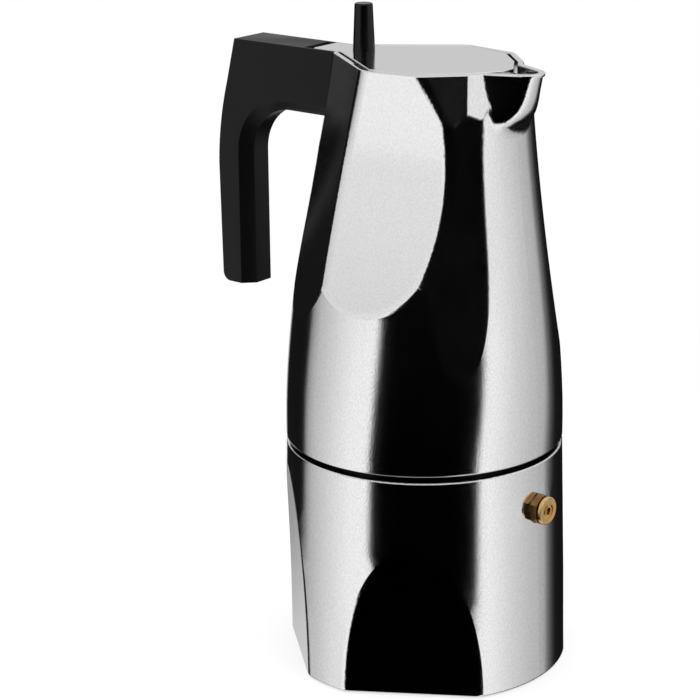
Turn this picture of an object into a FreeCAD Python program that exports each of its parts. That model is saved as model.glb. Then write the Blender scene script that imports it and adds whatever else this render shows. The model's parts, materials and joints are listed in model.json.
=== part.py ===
import FreeCAD, Part
import math
import os

from FreeCAD import Vector

# Stove-top moka pot in millimetres.
# +Z is up, the origin is on the table under the pot's axis, +X points to the spout and the valve.

# Boiler
boiler_top_r = 45.0
boiler_flare = 1.8
boiler_h = 73.5
boiler_wall = 3.2
boiler_floor = 3.5
base_edge_r = 0.8
boiler_ridge_r = 6.0
joint_edge_r = 0.5
shoulder_w = 5.6
neck_wall = 2.9
neck_h = 13.0

# Scooped facets of the boiler: angle from the spout, depth of the cut at the base, height of the apex
boiler_side_facet_deg = 58.0
boiler_side_facet_cut = 5.2
boiler_side_facet_apex_z = 50.5
boiler_side_scoop_r = 250.0
boiler_back_facet_deg = 132.0
boiler_back_facet_cut = 4.6
boiler_back_facet_apex_z = 66.5
boiler_back_scoop_r = 750.0

# Upper pot
joint_gap = 1.8
pot_h = 122.7
pot_wall = 3.2
pot_floor = 3.5
knee_rise = 31.7
knee_in = 1.4
waist_rise = 74.7
waist_in = 6.5
rim_in = 10.3
rim_wall = 1.7
rim_edge_r = 0.5
ridge_r = 6.0
thread_gap = 0.4

# Scooped facets of the pot: angle from the spout, depth of the cut at the rim, apex below the rim
spout_facet_deg = 38.1
spout_facet_cut = 1.9
spout_facet_drop = 93.0
spout_scoop_r = 940.0
side_facet_deg = 81.3
side_facet_cut = 7.6
side_facet_drop = 72.8
side_scoop_r = 110.0
rear_facet_deg = 125.4
rear_facet_cut = 10.4
rear_facet_drop = 80.2
rear_scoop_r = 346.0

# Small facets that trim the rim beside the beak: angle, cut at the rim, cut at the foot, foot below the rim
trim_facet_deg = 46.0
trim_facet_cut = 5.1
trim_facet_foot_cut = 0.3
trim_facet_drop = 18.0
lip_facet_deg = 34.0
lip_facet_cut = 3.7
lip_facet_foot_cut = 0.2
lip_facet_drop = 14.0
small_scoop_r = 2000.0

# Flat pad at the back that carries the handle
pad_cut = 4.1
pad_slope = 0.165

# Pouring beak, and the rolled lip along its edge
beak_out = 9.5
beak_half_deg = 25.0
beak_tip_r = 5.4
beak_mid_drop = 7.4
beak_mid_in = 1.8
beak_mid_half_deg = 33.0
beak_mid_tip_r = 7.0
beak_low_drop = 12.8
beak_low_in = 3.6
beak_low_half_deg = 42.0
beak_low_tip_r = 9.0
beak_foot_drop = 18.0
beak_foot_in = 9.0
beak_foot_half_deg = 58.0
beak_foot_tip_r = 14.0
crease_r = 5.0
crease_share = 0.72
crease_below = 1.0
crease_climb = 0.3
beak_root_in = 7.7
lip_out = 0.5
lip_h = 1.2

# Riser column, cast with the pot
column_base_r = 9.0
column_top_r = 6.0
column_h = 72.0
column_bore_r = 3.2
column_cap = 2.5
outlet_r = 2.4
dome_in = 10.8
dome_depth = 2.0

# Funnel and its sieve
flange_in = 0.6
flange_t = 1.0
cup_gap = 0.5
cup_wall = 1.0
cup_depth = 24.0
cone_h = 11.0
stem_r = 5.5
stem_wall = 0.8
stem_floor_gap = 5.0
sieve_t = 0.8
sieve_hole_r = 0.9
sieve_rings = 6
sieve_rim_w = 5.6

# Gasket and filter plate
gasket_gap = 0.6
gasket_w = 8.6
gasket_t = 3.6
plate_in = 5.8
plate_t = 1.0
plate_hole_r = 0.7
plate_rings = 7
plate_rim_w = 6.8
seat_gap = 0.2

# Lid, hinge and knob
lid_t = 2.5
lid_gap = 1.0
lid_skin = 1.6
lid_edge_w = 3.4
lid_edge_r = 0.4
tongue_half_w = 5.8
tongue_tail = 3.4
hinge_out = 5.8
hinge_drop = 4.0
knuckle_r = 4.0
pin_r = 1.25
pin_skin = 0.8
pin_far_gap = 0.3
running_gap = 0.05
press_gap = 0.02
knob_in = 6.6
knob_base_r = 3.55
knob_top_r = 2.9
knob_h = 15.0
knob_edge_r = 0.5
knob_screw_r = 1.25
knob_screw_head_r = 2.4
knob_screw_head_t = 1.6
knob_screw_reach = 8.0
knob_washer_r = 2.7
knob_washer_t = 0.5
knob_insert_r = 1.95
screw_slot_w = 0.8
screw_slot_depth = 0.7

# Handle
handle_w = 14.6
handle_drop = 0.3
handle_top_out = 42.3
handle_bend_out = 46.0
handle_bend_drop = 14.7
handle_bulge_out = 53.3
handle_bulge_drop = 42.0
grip_end_out = 52.6
grip_h = 83.3
grip_inner_out = 37.9
bridge_depth = 22.1
grip_corner_r = 16.0
grip_toe_r = 3.0
handle_bow = 0.9
handle_chamfer = 3.7
handle_back_chamfer = 3.0
slot_tail = 4.1
slot_gap = 0.2
slot_depth = 10.2
handle_screw_half_gap = 3.6
handle_screw_drop = 16.4
handle_screw_r = 1.5
handle_screw_head_r = 2.7
handle_screw_head_t = 1.8
handle_screw_reach = 7.5
handle_washer_r = 3.0
handle_washer_t = 0.6
handle_insert_r = 2.2
handle_insert_l = 8.0

# Safety valve
valve_z = 58.7
valve_seat_cut = 0.34
valve_washer_r = 4.6
valve_washer_t = 0.5
valve_hex_flats = 9.0
valve_hex_l = 2.3
valve_hex_bevel = 0.5
valve_neck_r = 3.6
valve_neck_l = 0.4
valve_shank_r = 4.0
valve_shank_l = 7.0
valve_boss_r = 8.0
valve_boss_l = 6.0
valve_bore_r = 3.0
valve_inlet_r = 1.2
valve_inlet_t = 1.4
valve_cap_r = 4.5
valve_cap_t = 1.3
valve_edge_r = 0.3
valve_groove_r = 2.65
valve_groove_w = 0.9
valve_groove_depth = 0.6
valve_cap_hole_r = 1.2
plunger_r = 1.0
plunger_flange_r = 2.6
plunger_flange_t = 1.0
plunger_sunk = 0.8
valve_seal_t = 0.8
spring_wire_r = 0.25
spring_wire_sides = 12
spring_turns = 5
spring_gap = 0.1

# Heights and places that follow from the sizes above
boiler_base_r = boiler_top_r + boiler_flare
boiler_side_facet_d = boiler_base_r - boiler_side_facet_cut
boiler_back_facet_d = boiler_base_r - boiler_back_facet_cut
neck_r = boiler_top_r - shoulder_w
neck_bore_r = neck_r - neck_wall
knee_r = boiler_top_r - knee_in
waist_r = boiler_top_r - waist_in
rim_r = boiler_top_r - rim_in
spout_facet_d = rim_r - spout_facet_cut
side_facet_d = rim_r - side_facet_cut
rear_facet_d = rim_r - rear_facet_cut
pad_d = rim_r - pad_cut
beak_reach = rim_r + beak_out
beak_root_x = rim_r - beak_root_in
hinge_x = pad_d + hinge_out
tongue_end = hinge_x + tongue_tail
slot_end = tongue_end + slot_tail
knob_x = pad_d - knob_in
handle_top_reach = pad_d + handle_top_out
handle_bend_reach = pad_d + handle_bend_out
handle_bulge_reach = pad_d + handle_bulge_out
grip_end_reach = pad_d + grip_end_out
grip_inner_reach = pad_d + grip_inner_out
pot_z = boiler_h + joint_gap
rim_z = pot_z + pot_h
neck_top = boiler_h + neck_h
gasket_z = neck_top + flange_t
floor_z = gasket_z + gasket_t
chamber_z = floor_z + pot_floor
ledge_z = rim_z - lid_t
column_top = chamber_z + column_h
skirt_bore_r = neck_r + thread_gap
flange_r = neck_r - flange_in
cup_r = neck_bore_r - cup_gap
sieve_pitch = (cup_r - cup_wall - sieve_rim_w) / sieve_rings
gasket_r = skirt_bore_r - gasket_gap
gasket_bore_r = gasket_r - gasket_w
plate_r = gasket_r - plate_in
plate_pitch = (plate_r - plate_rim_w) / plate_rings
dome_r = skirt_bore_r - dome_in
handle_top = rim_z - handle_drop
hinge_z = rim_z - hinge_drop
knob_seat = Vector(-knob_x, 0, rim_z)
far = 400.0
over = 5.0
scoop_over = 20.0
scoop_w = 120.0
level_slack = 0.01
origin = Vector(0, 0, 0)
up = Vector(0, 0, 1)
along_y = Vector(0, 1, 0)


def disc(radius, height, z, x=0.0, y=0.0):
    return Part.makeCylinder(radius, height, Vector(x, y, z), up)


def tube(outer, inner, height, z, x=0.0, y=0.0):
    return disc(outer, height, z, x, y).cut(disc(inner, height, z, x, y))


def rod(radius, start, end):
    return Part.makeCylinder(radius, (end - start).Length, start, end - start)


def valve_rod(radius, x_from, x_to):
    return rod(radius, Vector(x_from, 0, valve_z), Vector(x_to, 0, valve_z))


def revolve(points):
    wire = Part.makePolygon([Vector(r, 0, z) for r, z in points + points[:1]])
    return Part.Face(wire).revolve(origin, up, 360)


def slab(z_from, z_to):
    return Part.makeBox(far, far, z_to - z_from, Vector(-far / 2, -far / 2, z_from))


# The edges between facets: those that climb, apart from the seam of a round wall, which lies at y = 0.
def ridges(form):
    return [edge for edge in form.Edges
            if edge.BoundBox.ZLength > level_slack and edge.BoundBox.YLength > level_slack]


def edges_at(shape, z):
    return [edge for edge in shape.Edges
            if abs(edge.BoundBox.ZMin - z) < level_slack and abs(edge.BoundBox.ZMax - z) < level_slack]


def edges_across(shape, x):
    return [edge for edge in shape.Edges
            if abs(edge.BoundBox.XMin - x) < level_slack and abs(edge.BoundBox.XMax - x) < level_slack]


def cut_all(shape, tools):
    for tool in tools:
        shape = shape.cut(tool)
    return shape


# A facet is a level, hollow cut of large radius that scoops a flat out of a round wall.
# low and high are two points of the scoop as (height, distance from the axis).
def scoop(angle_deg, low, high, radius, inset):
    rise = high[0] - low[0]
    lean = high[1] - low[1]
    chord = math.hypot(rise, lean)
    reach = math.sqrt(radius ** 2 - chord ** 2 / 4)
    centre_d = (low[1] + high[1]) / 2 + reach * rise / chord
    centre_z = (low[0] + high[0]) / 2 - reach * lean / chord

    def on_arc(z):
        return Vector(centre_d - math.sqrt((radius + inset) ** 2 - (z - centre_z) ** 2), -scoop_w / 2, z)

    bottom = on_arc(low[0] - scoop_over)
    middle = on_arc((low[0] + high[0]) / 2)
    top = on_arc(high[0] + scoop_over)
    outer_top = Vector(scoop_w, bottom.y, top.z)
    outer_bottom = Vector(scoop_w, bottom.y, bottom.z)
    edges = [
        Part.Arc(bottom, middle, top).toShape(),
        Part.makeLine(top, outer_top),
        Part.makeLine(outer_top, outer_bottom),
        Part.makeLine(outer_bottom, bottom),
    ]
    cutter = Part.Face(Part.Wire(edges)).extrude(Vector(0, scoop_w, 0))
    cutter.rotate(origin, up, angle_deg)
    return cutter


def pair_of_scoops(angle_deg, low, high, radius, inset):
    return [scoop(side * angle_deg, low, high, radius, inset) for side in (1, -1)]


def boiler_r_at(z):
    return boiler_base_r + (boiler_top_r - boiler_base_r) * z / boiler_h


valve_seat_x = boiler_r_at(valve_z) - valve_seat_cut


def boiler_form(inset):
    points = [(0, 0), (boiler_base_r - inset, 0), (boiler_top_r - inset, boiler_h), (0, boiler_h)]
    side_apex = (boiler_side_facet_apex_z, boiler_r_at(boiler_side_facet_apex_z))
    back_apex = (boiler_back_facet_apex_z, boiler_r_at(boiler_back_facet_apex_z))
    cutters = pair_of_scoops(boiler_side_facet_deg, (0, boiler_side_facet_d), side_apex,
                             boiler_side_scoop_r, inset)
    cutters += pair_of_scoops(boiler_back_facet_deg, (0, boiler_back_facet_d), back_apex,
                              boiler_back_scoop_r, inset)
    return cut_all(revolve(points), cutters)


def make_boiler():
    body = boiler_form(0.0)
    body = body.makeFillet(boiler_ridge_r, ridges(body))
    body = body.makeFillet(base_edge_r, edges_at(body, 0))
    body = body.makeFillet(joint_edge_r, edges_at(body, boiler_h))
    neck = disc(neck_r, neck_h, boiler_h)
    body = body.fuse(neck)
    hollow = boiler_form(boiler_wall).common(slab(boiler_floor, boiler_h - boiler_wall))
    boss = valve_rod(valve_boss_r, valve_seat_x - valve_boss_l, valve_seat_x).common(boiler_form(0.0))
    body = body.cut(hollow.fuse(disc(neck_bore_r, neck_h + boiler_wall, boiler_h - boiler_wall)))
    body = body.fuse(boss)
    spot_face = valve_rod(valve_washer_r + seat_gap, valve_seat_x, boiler_base_r + over)
    bore = valve_rod(valve_shank_r + press_gap, 0, far)
    return cut_all(body, [spot_face, bore])


# The pot's round wall in profile: it leans in from the joint to the knee, then hollows up to the rim.
def pot_profile(inset):
    curve = Part.BSplineCurve()
    curve.interpolate([
        Vector(boiler_top_r - inset, 0, pot_z),
        Vector(knee_r - inset, 0, pot_z + knee_rise),
        Vector(waist_r - inset, 0, pot_z + waist_rise),
        Vector(rim_r - inset, 0, rim_z),
    ])
    return curve


# The half of the round wall at y < 0, which the facets are cut from.
def pot_round_half(inset):
    curve = pot_profile(inset)
    bottom = curve.value(curve.FirstParameter)
    rim = curve.value(curve.LastParameter)
    top = Vector(rim.x, 0, rim_z + over)
    top_axis = Vector(0, 0, rim_z + over)
    foot_axis = Vector(0, 0, pot_z)
    edges = [
        Part.makeLine(foot_axis, bottom),
        curve.toShape(),
        Part.makeLine(rim, top),
        Part.makeLine(top, top_axis),
        Part.makeLine(top_axis, foot_axis),
    ]
    return Part.Face(Part.Wire(edges)).revolve(origin, up, -180)


def both_halves(half):
    return half.fuse(half.mirror(origin, along_y)).removeSplitter()


def pot_r_at(z):
    level = Part.makeLine(Vector(0, 0, z), Vector(far, 0, z))
    return pot_profile(0.0).toShape().distToShape(level)[1][0][0].x


# Everything behind the pad's plane, or in front of it, as a block.
def pad_block(inset, behind):
    x_from = -far if behind else 0.0
    block = Part.makeBox(far, far, 2 * far, Vector(x_from, -far / 2, -far))
    block.rotate(origin, along_y, math.degrees(math.atan(pad_slope)))
    block.translate(Vector(inset - pad_d, 0, rim_z))
    return block


# The widest facet is cut first: its ends then clear the ground for the next one.
def large_facets(inset):
    rear_apex = rim_z - rear_facet_drop
    side_apex = rim_z - side_facet_drop
    spout_apex = rim_z - spout_facet_drop
    rear_low = (rear_apex, pot_r_at(rear_apex))
    side_low = (side_apex, pot_r_at(side_apex))
    spout_low = (spout_apex, pot_r_at(spout_apex))
    return [
        scoop(-rear_facet_deg, rear_low, (rim_z, rear_facet_d), rear_scoop_r, inset),
        scoop(-side_facet_deg, side_low, (rim_z, side_facet_d), side_scoop_r, inset),
        scoop(-spout_facet_deg, spout_low, (rim_z, spout_facet_d), spout_scoop_r, inset),
        pad_block(inset, True),
    ]


def small_facets(inset):
    trim_foot = (rim_z - trim_facet_drop, rim_r - trim_facet_foot_cut)
    lip_foot = (rim_z - lip_facet_drop, rim_r - lip_facet_foot_cut)
    return [
        scoop(-trim_facet_deg, trim_foot, (rim_z, rim_r - trim_facet_cut), small_scoop_r, inset),
        scoop(-lip_facet_deg, lip_foot, (rim_z, rim_r - lip_facet_cut), small_scoop_r, inset),
    ]


def pot_form(inset):
    return both_halves(cut_all(pot_round_half(inset), large_facets(inset) + small_facets(inset)))


# One level of the beak: a V with a round tip, closed inside the pot.
def beak_section(drop, reach, half_deg, tip_r, inset):
    half = math.radians(half_deg)
    z = rim_z - drop
    centre_x = reach - tip_r
    round_r = tip_r - inset
    touch = Vector(centre_x + round_r * math.sin(half), round_r * math.cos(half), z)
    root = Vector(beak_root_x, touch.y + (touch.x - beak_root_x) * math.tan(half), z)
    tip = Vector(centre_x + round_r, 0, z)
    mirror_touch = Vector(touch.x, -touch.y, z)
    mirror_root = Vector(root.x, -root.y, z)
    return Part.Wire([
        Part.makeLine(mirror_root, mirror_touch),
        Part.Arc(mirror_touch, tip, touch).toShape(),
        Part.makeLine(touch, root),
        Part.makeLine(root, mirror_root),
    ])


# The beak is drawn out of the wall: blunt at its foot, which is sunk in the wall, and sharper up to the rim.
def beak_form(inset):
    flare = over / beak_mid_drop
    sections = [
        (beak_foot_drop, beak_reach - beak_foot_in, beak_foot_half_deg, beak_foot_tip_r),
        (beak_low_drop, beak_reach - beak_low_in, beak_low_half_deg, beak_low_tip_r),
        (beak_mid_drop, beak_reach - beak_mid_in, beak_mid_half_deg, beak_mid_tip_r),
        (0, beak_reach, beak_half_deg, beak_tip_r),
        (-over, beak_reach + flare * beak_mid_in, beak_half_deg + flare * (beak_half_deg - beak_mid_half_deg),
         beak_tip_r + flare * (beak_tip_r - beak_mid_tip_r)),
    ]
    return Part.makeLoft([beak_section(*section, inset) for section in sections], True, False)


def rim_face(form):
    return Part.Face(form.slice(up, rim_z)[0])


# The creases and small ridges round the beak: those that climb, in front of a share of the rim.
def beak_creases(form):
    low = rim_z - beak_foot_drop - crease_below
    return [edge for edge in form.Edges
            if edge.BoundBox.XMin > crease_share * rim_r
            and edge.BoundBox.ZMin > low and edge.BoundBox.ZLength > crease_climb]


# The pot's outer skin, with soft ridges, the beak and its lip.
def pot_outside():
    half = cut_all(pot_round_half(0.0), large_facets(0.0))
    half = half.makeFillet(ridge_r, ridges(half))
    wall = both_halves(cut_all(half, small_facets(0.0)))
    skin = wall.fuse(beak_form(0.0)).common(slab(pot_z, rim_z)).removeSplitter()
    skin = skin.makeFillet(crease_r, beak_creases(skin))
    skin = skin.makeFillet(joint_edge_r, edges_at(skin, pot_z))
    lip = beak_form(-lip_out).common(slab(rim_z - lip_h, rim_z))
    return skin.fuse(lip).removeSplitter()


def make_upper_pot():
    outside = pot_outside()
    chamber = pot_form(pot_wall).fuse(beak_form(pot_wall)).common(slab(chamber_z, rim_z + over))
    mouth_form = pot_form(rim_wall).fuse(beak_form(rim_wall)).removeSplitter()
    mouth = rim_face(mouth_form).extrude(Vector(0, 0, -lid_t))
    mouth = mouth.fuse(rim_face(mouth_form).extrude(Vector(0, 0, over)))
    column = Part.makeCone(column_base_r, column_top_r, column_h, Vector(0, 0, chamber_z), up)
    pot = outside.cut(chamber).cut(mouth).fuse(column)
    skirt = disc(skirt_bore_r, floor_z - pot_z, pot_z)
    dome = Part.makeCone(dome_r, column_bore_r, dome_depth, Vector(0, 0, floor_z), up)
    riser = disc(column_bore_r, column_top - column_cap - floor_z, floor_z)
    outlet_z = column_top - column_cap - outlet_r
    outlet = rod(outlet_r, Vector(0, -column_base_r, outlet_z), Vector(0, column_base_r, outlet_z))
    notch_half_w = tongue_half_w + slot_gap
    notch = Part.makeBox(far, 2 * notch_half_w, lid_t + over + slot_gap,
                         Vector(-far - knob_x, -notch_half_w, ledge_z - slot_gap))
    screw_holes = [rod(handle_screw_r + slot_gap, pad_point(y, -over), pad_point(y, over))
                   for y in handle_screw_ys()]
    pot = cut_all(pot, [skirt, dome, riser, outlet]).removeSplitter()
    pot = pot.makeFillet(rim_edge_r, edges_at(pot, rim_z))
    return cut_all(pot, [notch] + screw_holes)


# A point on a handle screw's axis, a distance out from the pad.
def pad_point(y, out):
    lean = math.atan(pad_slope)
    x = -pad_d - pad_slope * handle_screw_drop - out * math.cos(lean)
    z = rim_z - handle_screw_drop + out * math.sin(lean)
    return Vector(x, y, z)


def handle_screw_ys():
    return (handle_screw_half_gap, -handle_screw_half_gap)


# The handle's side view at one depth; the inner and outer edges stand in by their own chamfers.
def handle_outline(y, inner_in, outer_in):
    bottom_z = handle_top - grip_h
    bridge_z = handle_top - bridge_depth + inner_in
    bend_z = handle_top - handle_bend_drop
    bulge_z = handle_top - handle_bulge_drop
    inner_reach = grip_inner_reach + inner_in
    bulge_reach = handle_bulge_reach - outer_in
    end_reach = grip_end_reach - outer_in
    corner_r = grip_corner_r + inner_in
    toe_out = (bulge_reach - end_reach) * grip_toe_r / (bulge_z - bottom_z)
    on_arc = 1 - math.sqrt(0.5)

    def at(reach, z):
        return Vector(-reach, y, z)

    shoulder = at(handle_top_reach, handle_top)
    bend = at(handle_bend_reach, bend_z)
    bulge = at(bulge_reach, bulge_z)
    bow = at((handle_bend_reach + bulge_reach) / 2 + handle_bow, (bend_z + bulge_z) / 2)
    toe = at(end_reach + toe_out, bottom_z + grip_toe_r)
    toe_mid = at(end_reach - on_arc * grip_toe_r, bottom_z + on_arc * grip_toe_r)
    heel = at(end_reach - grip_toe_r, bottom_z)
    inner_foot = at(inner_reach, bottom_z)
    corner_low = at(inner_reach, bridge_z - corner_r)
    corner_mid = at(inner_reach - on_arc * corner_r, bridge_z - on_arc * corner_r)
    corner_high = at(inner_reach - corner_r, bridge_z)
    root_low = at(0, bridge_z)
    root_high = at(0, handle_top)
    return Part.Wire([
        Part.makeLine(root_high, shoulder),
        Part.makeLine(shoulder, bend),
        Part.Arc(bend, bow, bulge).toShape(),
        Part.makeLine(bulge, toe),
        Part.Arc(toe, toe_mid, heel).toShape(),
        Part.makeLine(heel, inner_foot),
        Part.makeLine(inner_foot, corner_low),
        Part.Arc(corner_low, corner_mid, corner_high).toShape(),
        Part.makeLine(corner_high, root_low),
        Part.makeLine(root_low, root_high),
    ])


def make_handle():
    half_w = handle_w / 2
    core_half_w = half_w - handle_chamfer
    core = Part.Face(handle_outline(-core_half_w, 0.0, 0.0)).extrude(Vector(0, 2 * core_half_w, 0))
    cheeks = [Part.makeLoft([handle_outline(side * core_half_w, 0.0, 0.0),
                             handle_outline(side * half_w, handle_chamfer, handle_back_chamfer)], True, True)
              for side in (1, -1)]
    handle = core.fuse(cheeks).removeSplitter()
    slot_half_w = tongue_half_w + slot_gap
    slot = Part.makeBox(slot_end, 2 * slot_half_w, slot_depth + over,
                        Vector(-slot_end, -slot_half_w, handle_top - slot_depth))
    pin_start = Vector(-hinge_x, pin_skin - half_w, hinge_z)
    pin_hole = rod(pin_r + press_gap, pin_start, Vector(-hinge_x, far, hinge_z))
    insert_reach = handle_insert_l + seat_gap
    insert_holes = [rod(handle_insert_r + press_gap, pad_point(y, 0), pad_point(y, insert_reach))
                    for y in handle_screw_ys()]
    return cut_all(handle, [pad_block(0.0, False), slot, pin_hole] + insert_holes)


# A slotted screw that points up, with the underside of its head at the origin.
def screw(head_r, head_t, shank_r, length):
    head = disc(head_r, head_t, -head_t)
    slot = Part.makeBox(2 * head_r, screw_slot_w, screw_slot_depth,
                        Vector(-head_r, -screw_slot_w / 2, -head_t))
    return head.fuse(disc(shank_r, length, 0)).cut(slot)


def make_handle_inserts():
    shapes = []
    for y in handle_screw_ys():
        inner = pad_point(y, 0)
        outer = pad_point(y, handle_insert_l)
        shapes.append(rod(handle_insert_r, inner, outer).cut(rod(handle_screw_r + press_gap, inner, outer)))
    return Part.Compound(shapes)


def make_handle_washers():
    shapes = []
    for y in handle_screw_ys():
        inner = pad_point(y, -pot_wall - handle_washer_t)
        outer = pad_point(y, -pot_wall)
        shapes.append(rod(handle_washer_r, inner, outer).cut(rod(handle_screw_r + press_gap, inner, outer)))
    return Part.Compound(shapes)


def make_handle_screws():
    shapes = []
    grip = pot_wall + handle_washer_t
    for y in handle_screw_ys():
        shape = screw(handle_screw_head_r, handle_screw_head_t, handle_screw_r, grip + handle_screw_reach)
        shape.rotate(origin, along_y, math.degrees(math.atan(pad_slope)) - 90)
        shape.translate(pad_point(y, -grip))
        shapes.append(shape)
    return Part.Compound(shapes)


def make_hinge_pin():
    start = Vector(-hinge_x, pin_skin + press_gap - handle_w / 2, hinge_z)
    end = Vector(-hinge_x, handle_w / 2 - pin_far_gap, hinge_z)
    return rod(pin_r, start, end)


# The lid drops into the mouth and lies on the ledge; its tongue runs back over the pad to the hinge.
def make_lid():
    inset = rim_wall + lid_gap
    plate = rim_face(pot_form(inset)).extrude(Vector(0, 0, -lid_t))
    recess = rim_face(pot_form(inset + lid_edge_w)).extrude(Vector(0, 0, -lid_t))
    recess.translate(Vector(0, 0, -lid_skin))
    knob_pad = disc(knob_washer_r + seat_gap, lid_t, ledge_z, -knob_x)
    plate = plate.cut(recess).fuse(knob_pad)
    rear_x = -tongue_end
    front_x = lid_edge_w + inset - pad_d
    bar = Part.makeBox(front_x - rear_x, 2 * tongue_half_w, lid_t, Vector(rear_x, -tongue_half_w, ledge_z))
    knuckle = rod(knuckle_r, Vector(-hinge_x, -tongue_half_w, hinge_z),
                  Vector(-hinge_x, tongue_half_w, hinge_z))
    lid = plate.fuse([bar, knuckle]).removeSplitter()
    lid = lid.makeFillet(lid_edge_r, edges_at(lid, rim_z))
    pin_hole = rod(pin_r + running_gap, Vector(-hinge_x, -far, hinge_z), Vector(-hinge_x, far, hinge_z))
    screw_hole = disc(knob_screw_r + seat_gap, far, 0, -knob_x)
    return cut_all(lid, [pin_hole, screw_hole])


def make_lid_knob():
    knob = Part.makeCone(knob_base_r, knob_top_r, knob_h, knob_seat, up)
    knob = knob.makeFillet(knob_edge_r, edges_at(knob, rim_z + knob_h))
    return knob.cut(disc(knob_insert_r + press_gap, knob_screw_reach + seat_gap, rim_z, -knob_x))


def make_knob_insert():
    return tube(knob_insert_r, knob_screw_r + press_gap, knob_screw_reach, rim_z, -knob_x)


def make_knob_washer():
    return tube(knob_washer_r, knob_screw_r + press_gap, knob_washer_t, ledge_z - knob_washer_t, -knob_x)


def make_knob_screw():
    seat = ledge_z - knob_washer_t
    shape = screw(knob_screw_head_r, knob_screw_head_t, knob_screw_r, rim_z + knob_screw_reach - seat)
    shape.translate(Vector(-knob_x, 0, seat))
    return shape


# Rings of holes in a disc: six more holes in each ring than in the one inside it.
def hole_rings(hole_r, rings, pitch, z, height):
    holes = [disc(hole_r, height, z)]
    for ring in range(1, rings + 1):
        for k in range(6 * ring):
            turn = 2 * math.pi * k / (6 * ring)
            reach = ring * pitch
            holes.append(disc(hole_r, height, z, reach * math.cos(turn), reach * math.sin(turn)))
    return Part.Compound(holes)


def make_funnel():
    flange_z = neck_top
    floor = flange_z - cup_depth
    stem_top = floor - cone_h
    stem_foot = boiler_floor + stem_floor_gap
    inner_cup = cup_r - cup_wall
    inner_stem = stem_r - stem_wall
    return revolve([
        (flange_r, flange_z), (flange_r, gasket_z), (inner_cup, gasket_z), (inner_cup, floor),
        (inner_stem, stem_top), (inner_stem, stem_foot), (stem_r, stem_foot), (stem_r, stem_top - cup_wall),
        (cup_r, floor - cup_wall), (cup_r, flange_z)])


def make_funnel_sieve():
    z = neck_top - cup_depth
    sheet = disc(cup_r - cup_wall - press_gap, sieve_t, z)
    return sheet.cut(hole_rings(sieve_hole_r, sieve_rings, sieve_pitch, z, sieve_t))


def make_gasket():
    ring = tube(gasket_r, gasket_bore_r, gasket_t, gasket_z)
    return ring.cut(disc(plate_r + seat_gap, plate_t, floor_z - plate_t))


def make_filter_plate():
    z = floor_z - plate_t
    return disc(plate_r, plate_t, z).cut(hole_rings(plate_hole_r, plate_rings, plate_pitch, z, plate_t))


# Places along the valve, measured out from the axis.
hex_x = valve_seat_x + valve_washer_t
hex_end = hex_x + valve_hex_l
cap_x = hex_end + valve_neck_l
cap_end = cap_x + valve_cap_t
shank_x = hex_x - valve_shank_l
seal_x = shank_x + valve_inlet_t
flange_x = seal_x + valve_seal_t
spring_x = flange_x + plunger_flange_t


def make_valve_washer():
    ring = valve_rod(valve_washer_r, valve_seat_x, hex_x)
    return ring.cut(valve_rod(valve_shank_r + press_gap, valve_seat_x, hex_x))


def make_valve_body():
    corner_r = valve_hex_flats / 2 / math.cos(math.radians(30))
    turns = [math.radians(60 * k) for k in range(7)]
    corners = [Vector(hex_x, corner_r * math.sin(turn), valve_z + corner_r * math.cos(turn))
               for turn in turns]
    nut = Part.Face(Part.makePolygon(corners)).extrude(Vector(valve_hex_l, 0, 0))
    blank = valve_rod(corner_r, hex_x, hex_end)
    nut = nut.common(blank.makeChamfer(valve_hex_bevel, edges_across(blank, hex_end)))
    body = nut.fuse([valve_rod(valve_shank_r, shank_x, hex_x), valve_rod(valve_neck_r, hex_end, cap_x)])
    return cut_all(body, [valve_rod(valve_inlet_r, shank_x, cap_x), valve_rod(valve_bore_r, seal_x, cap_x)])


def make_valve_cap():
    cap = valve_rod(valve_cap_r, cap_x, cap_end)
    cap = cap.makeFillet(valve_edge_r, edges_across(cap, cap_end) + edges_across(cap, cap_x))
    groove_x = cap_end - valve_groove_depth
    groove = valve_rod(valve_groove_r, groove_x, cap_end)
    groove = groove.cut(valve_rod(valve_groove_r - valve_groove_w, groove_x, cap_end))
    return cut_all(cap, [groove, valve_rod(valve_cap_hole_r, cap_x, cap_end)])


def make_valve_plunger():
    flange = valve_rod(plunger_flange_r, flange_x, spring_x)
    return flange.fuse(valve_rod(plunger_r, spring_x, cap_end - plunger_sunk))


def make_valve_seal():
    return valve_rod(plunger_flange_r, seal_x, flange_x)


def make_valve_spring():
    mean_r = valve_bore_r - spring_wire_r - spring_gap
    start_x = spring_x + spring_wire_r + spring_gap
    length = cap_x - spring_wire_r - spring_gap - start_x
    helix = Part.makeHelix(length / spring_turns, length, mean_r)
    wire = Part.Wire(helix.Edges)
    turns = [2 * math.pi * k / spring_wire_sides for k in range(spring_wire_sides + 1)]
    ring = Part.makePolygon([
        Vector(mean_r + spring_wire_r * math.cos(turn), 0, spring_wire_r * math.sin(turn)) for turn in turns])
    coil = wire.makePipeShell([ring], True, True)
    coil.rotate(origin, along_y, 90)
    coil.translate(Vector(start_x, 0, valve_z))
    return coil


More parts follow.
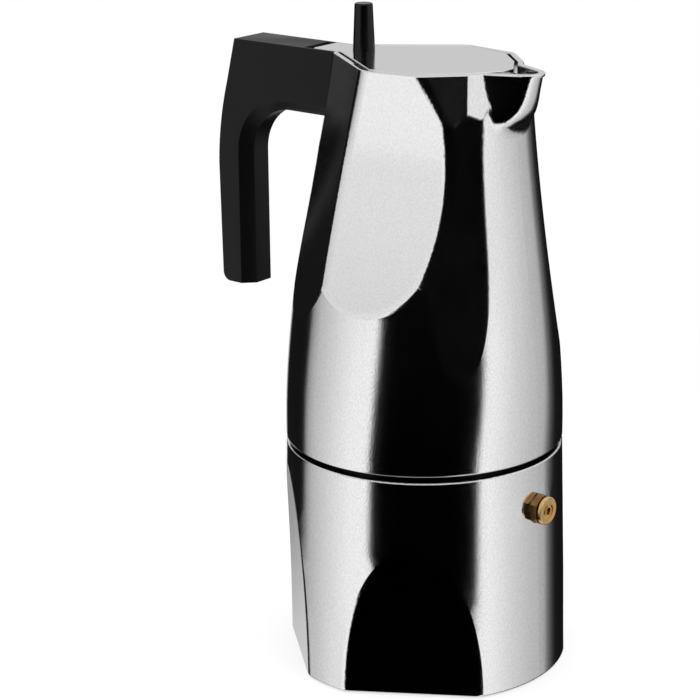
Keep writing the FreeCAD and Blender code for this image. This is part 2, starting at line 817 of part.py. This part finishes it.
pieces = {
    "boiler": make_boiler,
    "valve_washer": make_valve_washer,
    "valve_body": make_valve_body,
    "valve_cap": make_valve_cap,
    "valve_plunger": make_valve_plunger,
    "valve_seal": make_valve_seal,
    "valve_spring": make_valve_spring,
    "funnel": make_funnel,
    "funnel_sieve": make_funnel_sieve,
    "gasket": make_gasket,
    "filter_plate": make_filter_plate,
    "upper_pot": make_upper_pot,
    "handle": make_handle,
    "handle_inserts": make_handle_inserts,
    "handle_washers": make_handle_washers,
    "handle_screws": make_handle_screws,
    "hinge_pin": make_hinge_pin,
    "lid": make_lid,
    "lid_knob": make_lid_knob,
    "knob_insert": make_knob_insert,
    "knob_washer": make_knob_washer,
    "knob_screw": make_knob_screw,
}

os.makedirs("parts", exist_ok=True)
for name, make in pieces.items():
    shape = make()
    shape.exportStep("parts/" + name + ".step")
    box = shape.optimalBoundingBox()
    print(f"{name}: {len(shape.Solids)} solids, volume {shape.Volume:.1f}, valid {shape.isValid()}, "
          f"x {box.XMin:.1f}..{box.XMax:.1f}, y {box.YMin:.1f}..{box.YMax:.1f}, "
          f"z {box.ZMin:.1f}..{box.ZMax:.1f}")
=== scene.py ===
import json
import math

import bpy
from mathutils import Matrix, Vector


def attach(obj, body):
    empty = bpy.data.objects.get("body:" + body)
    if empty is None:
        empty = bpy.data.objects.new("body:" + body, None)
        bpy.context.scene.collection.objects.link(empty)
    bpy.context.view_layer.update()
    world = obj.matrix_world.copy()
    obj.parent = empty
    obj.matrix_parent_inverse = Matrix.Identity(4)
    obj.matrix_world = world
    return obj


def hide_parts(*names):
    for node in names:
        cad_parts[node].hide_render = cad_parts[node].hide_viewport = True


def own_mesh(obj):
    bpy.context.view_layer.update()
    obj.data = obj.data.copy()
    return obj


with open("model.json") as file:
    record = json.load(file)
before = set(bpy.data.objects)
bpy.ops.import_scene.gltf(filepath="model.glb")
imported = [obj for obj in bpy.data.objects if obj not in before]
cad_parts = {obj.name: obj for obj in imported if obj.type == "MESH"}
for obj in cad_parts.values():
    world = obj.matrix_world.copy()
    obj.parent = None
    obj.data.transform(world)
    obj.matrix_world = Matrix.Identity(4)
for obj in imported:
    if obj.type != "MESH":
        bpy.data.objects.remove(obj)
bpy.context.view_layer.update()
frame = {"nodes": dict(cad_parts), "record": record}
nodes = frame["nodes"]
scene = bpy.context.scene
bpy.ops.object.select_all(action="DESELECT")
print("frame loaded:", len(nodes), "pieces")


def grey(level):
    return (level, level, level, 1.0)


# A socket in a node tree. Maths on it adds Math nodes, and add() makes any other node.
class Wire:
    def __init__(self, tree, socket=None):
        self.tree = tree
        self.socket = socket

    def add(self, kind, settings=None, sockets=None, out=0):
        node = self.tree.nodes.new(kind)
        for name, value in (settings or {}).items():
            if name == "stops":
                self.setStops(node.color_ramp.elements, value)
            else:
                setattr(node, name, value)
        for name, value in (sockets or {}).items():
            if isinstance(value, Wire):
                self.tree.links.new(value.socket, node.inputs[name])
            else:
                node.inputs[name].default_value = value
        return Wire(self.tree, node.outputs[out] if len(node.outputs) else None)

    def setStops(self, elements, stops):
        for index, (place, level) in enumerate(stops):
            stop = elements[index] if index < 2 else elements.new(place)  # a new ramp has two stops
            stop.position = place
            stop.color = grey(level)

    # all the outputs of this socket's node
    def outputs(self):
        return [Wire(self.tree, socket) for socket in self.socket.node.outputs]

    def maths(self, operation, other=None, swapped=False):
        values = [self] if other is None else [other, self] if swapped else [self, other]
        return self.add("ShaderNodeMath", {"operation": operation}, dict(enumerate(values)))

    def __add__(self, other):
        return self.maths("ADD", other)

    def __radd__(self, other):
        return self.maths("ADD", other, True)

    def __sub__(self, other):
        return self.maths("SUBTRACT", other)

    def __rsub__(self, other):
        return self.maths("SUBTRACT", other, True)

    def __mul__(self, other):
        return self.maths("MULTIPLY", other)

    def __rmul__(self, other):
        return self.maths("MULTIPLY", other, True)

    def __truediv__(self, other):
        return self.maths("DIVIDE", other)

    def __rtruediv__(self, other):
        return self.maths("DIVIDE", other, True)

    # 0 up to low, 1 from high on, and smooth between them
    def fade(self, low, high):
        return self.add("ShaderNodeMapRange", {"interpolation_type": "SMOOTHSTEP"},
                        {"Value": self, "From Min": low, "From Max": high})

    # the first colour where the share is 0, the second where it is 1
    def blend(self, share, first, second):
        sockets = {0: share, 6: first, 7: second}  # a Mix node's colours are at 6 and 7, and come out at 2
        return self.add("ShaderNodeMix", {"data_type": "RGBA"}, sockets, 2)


def startTree(holder):
    holder.use_nodes = True
    holder.node_tree.nodes.clear()
    return Wire(holder.node_tree)


def newFinish(name):
    material = bpy.data.materials.new(name)
    return material, startTree(material)


# camera: place in metres, turn about the upright, tilt and roll in degrees, lens and sensor in millimetres
cameraSpec = {
    "place": (0.4452, -0.5803, 0.3325),
    "turn": 39.375,
    "tilt": 72.566,
    "roll": -0.6,
    "lens": 121.83,
    "sensor": 36.0,
    "nearest": 0.01,
}


def setCamera():
    bpy.ops.object.camera_add()
    camera = bpy.context.active_object
    camera.name = "photoCamera"
    turn = Matrix.Rotation(math.radians(cameraSpec["turn"]), 4, "Z")
    tilt = Matrix.Rotation(math.radians(cameraSpec["tilt"]), 4, "X")
    roll = Matrix.Rotation(math.radians(cameraSpec["roll"]), 4, "Z")
    camera.matrix_world = Matrix.Translation(cameraSpec["place"]) @ turn @ tilt @ roll
    camera.data.lens = cameraSpec["lens"]
    camera.data.sensor_width = cameraSpec["sensor"]
    camera.data.clip_start = cameraSpec["nearest"]
    scene.camera = camera
    print("camera set")


# The studio as bright metal sees it. Lists run by degrees round from the camera, where plus is picture right.
studioSpec = {
    "front": -52.5,  # the camera's bearing
    # light level of the cards all round
    "ring": [(-180, 0.006), (-176, 0.1), (-172, 0.8), (-166, 0.65), (-160, 0.5), (-157, 0.008),
             (-113, 0.006), (-110, 0.22), (-105, 0.40), (-100, 0.50), (-90, 0.60), (-70, 0.80), (-58, 0.92),
             (-41.5, 0.95), (-38.5, 0.0), (49.5, 0.0), (52.5, 0.94), (62, 0.92), (82, 0.70), (104, 0.54),
             (122, 0.45), (129, 0.15), (138, 0.03), (144, 0.008), (180, 0.006)],
    "sky": [(-180, 0.62), (-120, 0.62), (-70, 0.8), (0, 0.85), (70, 0.8), (120, 0.62), (180, 0.62)],
    # where the cards end and the sky starts, in degrees up
    "ringTop": [(-180, -4), (-172, -4), (-160, 24), (-124, 24), (-114, -4), (-50, -4), (-42, 26), (10, 26),
                (18, 9), (40, 8), (48, -4), (180, -4)],
    "topFade": 3.0,
    # one more card, low down
    "lowCard": [(-180, 0.0), (-176, 0.0), (-171, 1.0), (-138, 1.0), (-133, 0.0), (180, 0.0)],
    "lowCardLevel": 0.62,
    "lowCardFrom": -25.0,
    "lowCardTo": -20.0,
    "floorLevel": 0.85,
    "floorFrom": -74.0,
    "floorTo": -58.0,
    "tilt": 0.55,  # the cards' edges lean by this many degrees for each degree up
    "tiltFrom": -8.0,
    "ambientUp": 0.8,  # what dull surfaces get from above
    "ambientDown": 0.06,
    "ambientFrom": -0.3,  # upward part of a ray's direction
    "ambientTo": 0.5,
    "backdrop": 1.0,
}


def roundRamp(tree, round01, stops):
    places = [((degrees + 180) / 360, level) for degrees, level in stops]
    return tree.add("ShaderNodeValToRGB", {"stops": places}, {"Fac": round01})


def setWorld():
    world = bpy.data.worlds.new("studio")
    scene.world = world
    tree = startTree(world)
    aim = tree.add("ShaderNodeTexCoord")
    turned = tree.add("ShaderNodeVectorRotate", {"rotation_type": "Z_AXIS"},
                      {"Vector": aim, "Angle": -math.radians(studioSpec["front"])})
    x, y, z = tree.add("ShaderNodeSeparateXYZ", None, {"Vector": turned}).outputs()
    rise = z.maths("ARCSINE") * (180 / math.pi)
    lean = (rise - studioSpec["tiltFrom"]) * (studioSpec["tilt"] / 360)
    round01 = (y.maths("ARCTAN2", x) / (2 * math.pi) + 0.5 - lean).maths("FRACT")

    # cards all round, and the sky over them
    ring = roundRamp(tree, round01, studioSpec["ring"])
    sky = roundRamp(tree, round01, studioSpec["sky"])
    topStops = [(degrees, (height + 90) / 180) for degrees, height in studioSpec["ringTop"]]
    top = tree.add("ShaderNodeRGBToBW", None, {"Color": roundRamp(tree, round01, topStops)}) * 180 - 90
    mirrored = tree.blend((rise - top).fade(-studioSpec["topFade"], studioSpec["topFade"]), ring, sky)

    # the low card, and the floor under everything
    card = tree.add("ShaderNodeRGBToBW", None, {"Color": roundRamp(tree, round01, studioSpec["lowCard"])})
    lowShare = card * (1 - rise.fade(studioSpec["lowCardFrom"], studioSpec["lowCardTo"]))
    mirrored = tree.blend(lowShare, mirrored, grey(studioSpec["lowCardLevel"]))
    overFloor = rise.fade(studioSpec["floorFrom"], studioSpec["floorTo"])
    mirrored = tree.blend(overFloor, grey(studioSpec["floorLevel"]), mirrored)

    # gloss sees the cards, dull surfaces a soft light from above, and the camera the white backdrop
    upShare = z.fade(studioSpec["ambientFrom"], studioSpec["ambientTo"])
    ambient = upShare * (studioSpec["ambientUp"] - studioSpec["ambientDown"]) + studioSpec["ambientDown"]
    isCamera = tree.add("ShaderNodeLightPath", out="Is Camera Ray")
    isGlossy = tree.add("ShaderNodeLightPath", out="Is Glossy Ray")
    lit = tree.blend(isGlossy, ambient, mirrored)
    seen = tree.blend(isCamera, lit, grey(studioSpec["backdrop"]))
    glow = tree.add("ShaderNodeBackground", None, {"Color": seen})
    tree.add("ShaderNodeOutputWorld", None, {"Surface": glow})
    print("world set")


# lamps: place, aim height, size across and power
lampSpec = {
    "leftLamp": ((-0.75, -0.75, 0.9), 0.1, 0.7, 4.0),
    "rightLamp": ((0.95, 0.1, 0.8), 0.1, 0.7, 3.0),
    "topLamp": ((0.0, 0.0, 1.4), 0.0, 1.0, 9.0),
}


def setLamps():
    for name, (place, aimHeight, across, power) in lampSpec.items():
        bpy.ops.object.light_add(type="AREA", location=place)
        lamp = bpy.context.active_object
        lamp.name = name
        lamp.data.energy = power
        lamp.data.size = across
        aim = Vector((0, 0, aimHeight)) - Vector(place)
        lamp.rotation_euler = aim.to_track_quat("-Z", "Y").to_euler()
        lamp.visible_glossy = False
    print("lamps set")


# floor: white paper that takes the shadow near the pot and only glows further out
floorSpec = {
    "half": 4.0,
    "drop": 0.0003,
    "paper": 0.95,
    "light": 1.0,
    "glow": 0.62,  # share of the glow under the pot
    "shadeFrom": 0.06,
    "shadeTo": 0.32,
}


def setFloor():
    bpy.ops.mesh.primitive_plane_add(size=2 * floorSpec["half"], location=(0, 0, -floorSpec["drop"]))
    floor = bpy.context.active_object
    floor.name = "paleFloor"
    material, tree = newFinish("palePaper")
    paper = tree.add("ShaderNodeBsdfDiffuse", None, {"Color": grey(floorSpec["paper"])})
    glow = tree.add("ShaderNodeEmission", None, {"Color": grey(floorSpec["light"])})
    coords = tree.add("ShaderNodeTexCoord", out="Object")
    away = tree.add("ShaderNodeVectorMath", {"operation": "LENGTH"}, {0: coords}, "Value")
    whiter = away.fade(floorSpec["shadeFrom"], floorSpec["shadeTo"])
    share = whiter * (1 - floorSpec["glow"]) + floorSpec["glow"]
    both = tree.add("ShaderNodeMixShader", None, {0: share, 1: paper, 2: glow})
    tree.add("ShaderNodeOutputMaterial", None, {"Surface": both})
    floor.data.materials.append(material)
    floor.visible_glossy = False
    floor.visible_diffuse = False
    print("floor set")


def speckle(tree, size, detail=2.0):
    coords = tree.add("ShaderNodeTexCoord", out="Object")
    return tree.add("ShaderNodeTexNoise", None, {"Vector": coords, "Scale": 1.0 / size, "Detail": detail})


def closeFinish(tree, values):
    skin = tree.add("ShaderNodeBsdfPrincipled", None, values)
    tree.add("ShaderNodeOutputMaterial", None, {"Surface": skin})


noiseMiddle = 0.5  # a noise swings about this

# cast aluminium: bright and dull flecks, a cloudy gloss, fine grain, and painted shade in the seam under the
# pot
castSpec = {
    "bright": grey(0.95),
    "dull": grey(0.83),
    "fleckAcross": 0.00035,
    "fleckAlong": 0.0007,
    "fleckDetail": 3.0,
    "fleckFrom": 0.3,
    "fleckTo": 0.7,
    "gloss": 0.085,
    "cloud": 0.012,
    "cloudDetail": 3.0,
    "cloudRough": 0.05,
    "grain": 0.00045,
    "grainDepth": 0.000016,
    "grainRough": 0.04,
    "seamLow": 0.0733,
    "seamHigh": 0.0755,
    "seamRound": 0.0440,
    "seamEdge": 0.0003,
    "paintedSeamShade": grey(0.05),
}


def makeCastAluminium():
    material, tree = newFinish("castAluminium")
    grain = speckle(tree, castSpec["grain"])
    clouds = speckle(tree, castSpec["cloud"], castSpec["cloudDetail"])
    bump = tree.add("ShaderNodeBump", None, {"Height": grain, "Distance": castSpec["grainDepth"]})
    cloudy = (clouds - noiseMiddle) * castSpec["cloudRough"]
    rough = castSpec["gloss"] + cloudy + grain * castSpec["grainRough"]

    coords = tree.add("ShaderNodeTexCoord", out="Object")
    across = 1.0 / castSpec["fleckAcross"]
    along = 1.0 / castSpec["fleckAlong"]
    stretched = tree.add("ShaderNodeMapping", None, {"Vector": coords, "Scale": (across, across, along)})
    flecks = tree.add("ShaderNodeTexNoise", None,
                      {"Vector": stretched, "Scale": 1.0, "Detail": castSpec["fleckDetail"]})
    flecked = flecks.fade(castSpec["fleckFrom"], castSpec["fleckTo"])
    colour = tree.blend(flecked, castSpec["dull"], castSpec["bright"])

    # painted shade: the surfaces in the gap between boiler and pot are coloured near black, where shade falls
    x, y, z = tree.add("ShaderNodeSeparateXYZ", None, {"Vector": coords}).outputs()
    away = (x * x + y * y).maths("SQRT")
    edge = castSpec["seamEdge"]
    overLow = z.fade(castSpec["seamLow"], castSpec["seamLow"] + edge)
    overHigh = z.fade(castSpec["seamHigh"] - edge, castSpec["seamHigh"])
    outside = away.fade(castSpec["seamRound"] - edge, castSpec["seamRound"])
    colour = tree.blend(overLow * (1 - overHigh) * (1 - outside), colour, castSpec["paintedSeamShade"])
    closeFinish(tree, {"Base Color": colour, "Metallic": 1.0, "Roughness": rough, "Normal": bump})
    return material


# plain finishes: colour, metallic, least roughness, size of the grain and what it adds to the roughness
plainSpec = {
    "spunAluminium": ((0.78, 0.79, 0.80, 1.0), 1.0, 0.28, 0.0004, 0.1),
    "brightSteel": ((0.62, 0.62, 0.63, 1.0), 1.0, 0.22, 0.0005, 0.1),
    "paleRubber": ((0.80, 0.78, 0.74, 1.0), 0.0, 0.5, 0.0008, 0.2),
}


def makePlain(name):
    colour, metallic, rough, size, grainRough = plainSpec[name]
    material, tree = newFinish(name)
    grain = speckle(tree, size)
    closeFinish(tree, {"Base Color": colour, "Metallic": metallic, "Roughness": rough + grain * grainRough})
    return material


# brass: colour and least roughness as turned, or as turned brown by the boiler's heat, which on the valve's
# pin also stands as painted shade in its hole, and stains for both
brassSpec = {
    "turnedBrass": ((0.93, 0.63, 0.27), 0.2),
    "heatBrownAndShadedBrass": ((0.34, 0.19, 0.07), 0.34),
    "grain": 0.0005,
    "grainRough": 0.1,
    "stain": 0.003,
    "stainDetail": 3.0,
    "stainFrom": 0.35,
    "stainTo": 0.75,
    "stainShade": 0.72,
}


def makeBrass(name):
    colour, rough = brassSpec[name]
    stained = tuple(brassSpec["stainShade"] * part for part in colour)
    material, tree = newFinish(name)
    grain = speckle(tree, brassSpec["grain"])
    stains = speckle(tree, brassSpec["stain"], brassSpec["stainDetail"])
    share = stains.fade(brassSpec["stainFrom"], brassSpec["stainTo"])
    tint = tree.blend(share, colour + (1.0,), stained + (1.0,))
    rough = rough + grain * brassSpec["grainRough"]
    closeFinish(tree, {"Base Color": tint, "Metallic": 1.0, "Roughness": rough})
    return material


# plastic: colour, least roughness, grain size and depth, and specular level, and rubbed places for both
plasticSpec = {
    "grainedPlastic": ((0.0045, 0.0043, 0.0042, 1.0), 0.36, 0.0005, 0.00003, 0.22),
    "glossyPlastic": ((0.002, 0.002, 0.002, 1.0), 0.2, 0.0008, 0.000006, 0.3),
    "grainRough": 0.1,
    "rubbed": 0.02,
    "rubbedDetail": 3.0,
    "rubbedRough": 0.12,
}


def makePlastic(name):
    colour, rough, size, depth, shine = plasticSpec[name]
    material, tree = newFinish(name)
    grain = speckle(tree, size)
    rubbed = speckle(tree, plasticSpec["rubbed"], plasticSpec["rubbedDetail"])
    bump = tree.add("ShaderNodeBump", None, {"Height": grain, "Distance": depth})
    worn = (rubbed - noiseMiddle) * plasticSpec["rubbedRough"]
    rough = rough + grain * plasticSpec["grainRough"] + worn
    closeFinish(tree, {"Base Color": colour, "Roughness": rough, "Normal": bump, "Specular IOR Level": shine})
    return material


def dressNodes():
    finishes = {
        "polished_aluminium": makeCastAluminium(),
        "spun_aluminium": makePlain("spunAluminium"),
        "valve_brass": makeBrass("turnedBrass"),
        "steel": makePlain("brightSteel"),
        "handle_plastic": makePlastic("grainedPlastic"),
        "seal_rubber": makePlain("paleRubber"),
    }
    brownAndShaded = makeBrass("heatBrownAndShadedBrass")
    # the valve's pin takes the dark brass as painted shade in the hole it sits in
    ownFinish = {"valve_body": brownAndShaded, "valve_washer": brownAndShaded, "valve_plunger": brownAndShaded,
                 "lid_knob": makePlastic("glossyPlastic")}
    for subpart in frame["record"]["subparts"]:
        finish = ownFinish.get(subpart["node"], finishes[subpart["material_slot"]])
        for slot in nodes[subpart["node"]].material_slots:
            slot.material = finish
    print("finishes set")
    return finishes


def selectAlone(piece):
    bpy.ops.object.select_all(action="DESELECT")
    piece.select_set(True)
    bpy.context.view_layer.objects.active = piece


# a CAD node's mesh is loose triangles, so its copy is merged
def mergedCopy(node, name, merge):
    piece = bpy.data.objects.new(name, nodes[node].data.copy())
    scene.collection.objects.link(piece)
    selectAlone(piece)
    bpy.ops.mesh.customdata_custom_splitnormals_clear()
    bpy.ops.object.mode_set(mode="EDIT")
    bpy.ops.mesh.select_all(action="SELECT")
    bpy.ops.mesh.remove_doubles(threshold=merge)
    bpy.ops.object.mode_set(mode="OBJECT")
    return piece


def coat(piece, finish):
    piece.data.materials.clear()
    piece.data.materials.append(finish)


# handle: its moulded edges, rounded; metres and degrees
handleSpec = {"merge": 0.000002, "flat": 0.6, "round": 0.0007, "steps": 3, "corner": 25.0, "smooth": 32.0}


def roundHandle(finish):
    piece = mergedCopy("handle", "roundedHandle", handleSpec["merge"])
    bpy.ops.object.mode_set(mode="EDIT")
    bpy.ops.mesh.select_all(action="SELECT")
    bpy.ops.mesh.dissolve_limited(angle_limit=math.radians(handleSpec["flat"]))
    bpy.ops.object.mode_set(mode="OBJECT")
    bevel = piece.modifiers.new("edges", "BEVEL")
    bevel.width = handleSpec["round"]
    bevel.segments = handleSpec["steps"]
    bevel.limit_method = "ANGLE"
    bevel.angle_limit = math.radians(handleSpec["corner"])
    bpy.ops.object.modifier_apply(modifier=bevel.name)
    bpy.ops.object.shade_smooth_by_angle(angle=math.radians(handleSpec["smooth"]))
    coat(piece, finish)
    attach(piece, "pot")
    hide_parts("handle")
    print("handle rounded:", len(piece.data.polygons), "faces")


# valve spring: a merged copy of the CAD spring, shaded smooth
springSpec = {"travel": 0.0012, "merge": 0.000001, "smooth": 40.0}


def squeezeSpring(finish):
    piece = mergedCopy("valve_spring", "coiledSpring", springSpec["merge"])
    bpy.ops.object.shade_smooth_by_angle(angle=math.radians(springSpec["smooth"]))
    coat(piece, finish)
    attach(piece, "boiler")
    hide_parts("valve_spring")
    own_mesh(piece)
    print("spring set")


# thread: a ridge wound round the boiler's neck, where the pot screws on
threadSpec = {
    "round": 0.0394,  # the neck's radius
    "from": 0.0764,
    "pitch": 0.004,
    "turns": 2.0,
    "steps": 64,  # in each turn
    "proud": 0.00027,
    "sunk": 0.0003,
    "foot": 0.0018,
    "crest": 0.0006,
    "smooth": 30.0,
}


def windThread(finish):
    deep = threadSpec["proud"] + threadSpec["sunk"]
    middle = threadSpec["round"] + (threadSpec["proud"] - threadSpec["sunk"]) / 2
    start = (middle, 0, threadSpec["from"])
    bpy.ops.mesh.primitive_plane_add(size=1.0, location=start, rotation=(math.pi / 2, 0, 0))
    piece = bpy.context.active_object
    piece.name = "neckThread"
    piece.scale = (deep, threadSpec["foot"], 1.0)
    bpy.ops.object.transform_apply(location=True, rotation=True, scale=True)

    # its outer edge is narrowed to the crest
    bpy.ops.object.mode_set(mode="EDIT")
    bpy.ops.mesh.select_mode(type="VERT")
    bpy.ops.mesh.select_all(action="DESELECT")
    bpy.ops.object.mode_set(mode="OBJECT")
    for vertex in piece.data.vertices:
        vertex.select = vertex.co.x > middle
    bpy.ops.object.mode_set(mode="EDIT")
    bpy.ops.transform.resize(value=(1, 1, threadSpec["crest"] / threadSpec["foot"]), center_override=start)

    # then it is drawn up round the neck; with no window a minus turns it the right-handed way
    bpy.ops.mesh.select_all(action="SELECT")
    angle = -2 * math.pi / threadSpec["steps"]
    climb = threadSpec["pitch"] / threadSpec["steps"]
    for step in range(round(threadSpec["turns"] * threadSpec["steps"])):
        bpy.ops.mesh.extrude_region()
        bpy.ops.transform.rotate(value=angle, orient_axis="Z", center_override=(0, 0, 0))
        bpy.ops.transform.translate(value=(0, 0, climb))
    bpy.ops.mesh.select_all(action="SELECT")
    bpy.ops.mesh.normals_make_consistent(inside=False)
    bpy.ops.object.mode_set(mode="OBJECT")
    bpy.ops.object.shade_smooth_by_angle(angle=math.radians(threadSpec["smooth"]))
    coat(piece, finish)
    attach(piece, "boiler")
    print("thread wound:", len(piece.data.polygons), "faces")


setCamera()
setWorld()
setLamps()
setFloor()
finishes = dressNodes()
roundHandle(finishes["handle_plastic"])
windThread(finishes["polished_aluminium"])
squeezeSpring(finishes["steel"])
scene.view_settings.view_transform = "Standard"
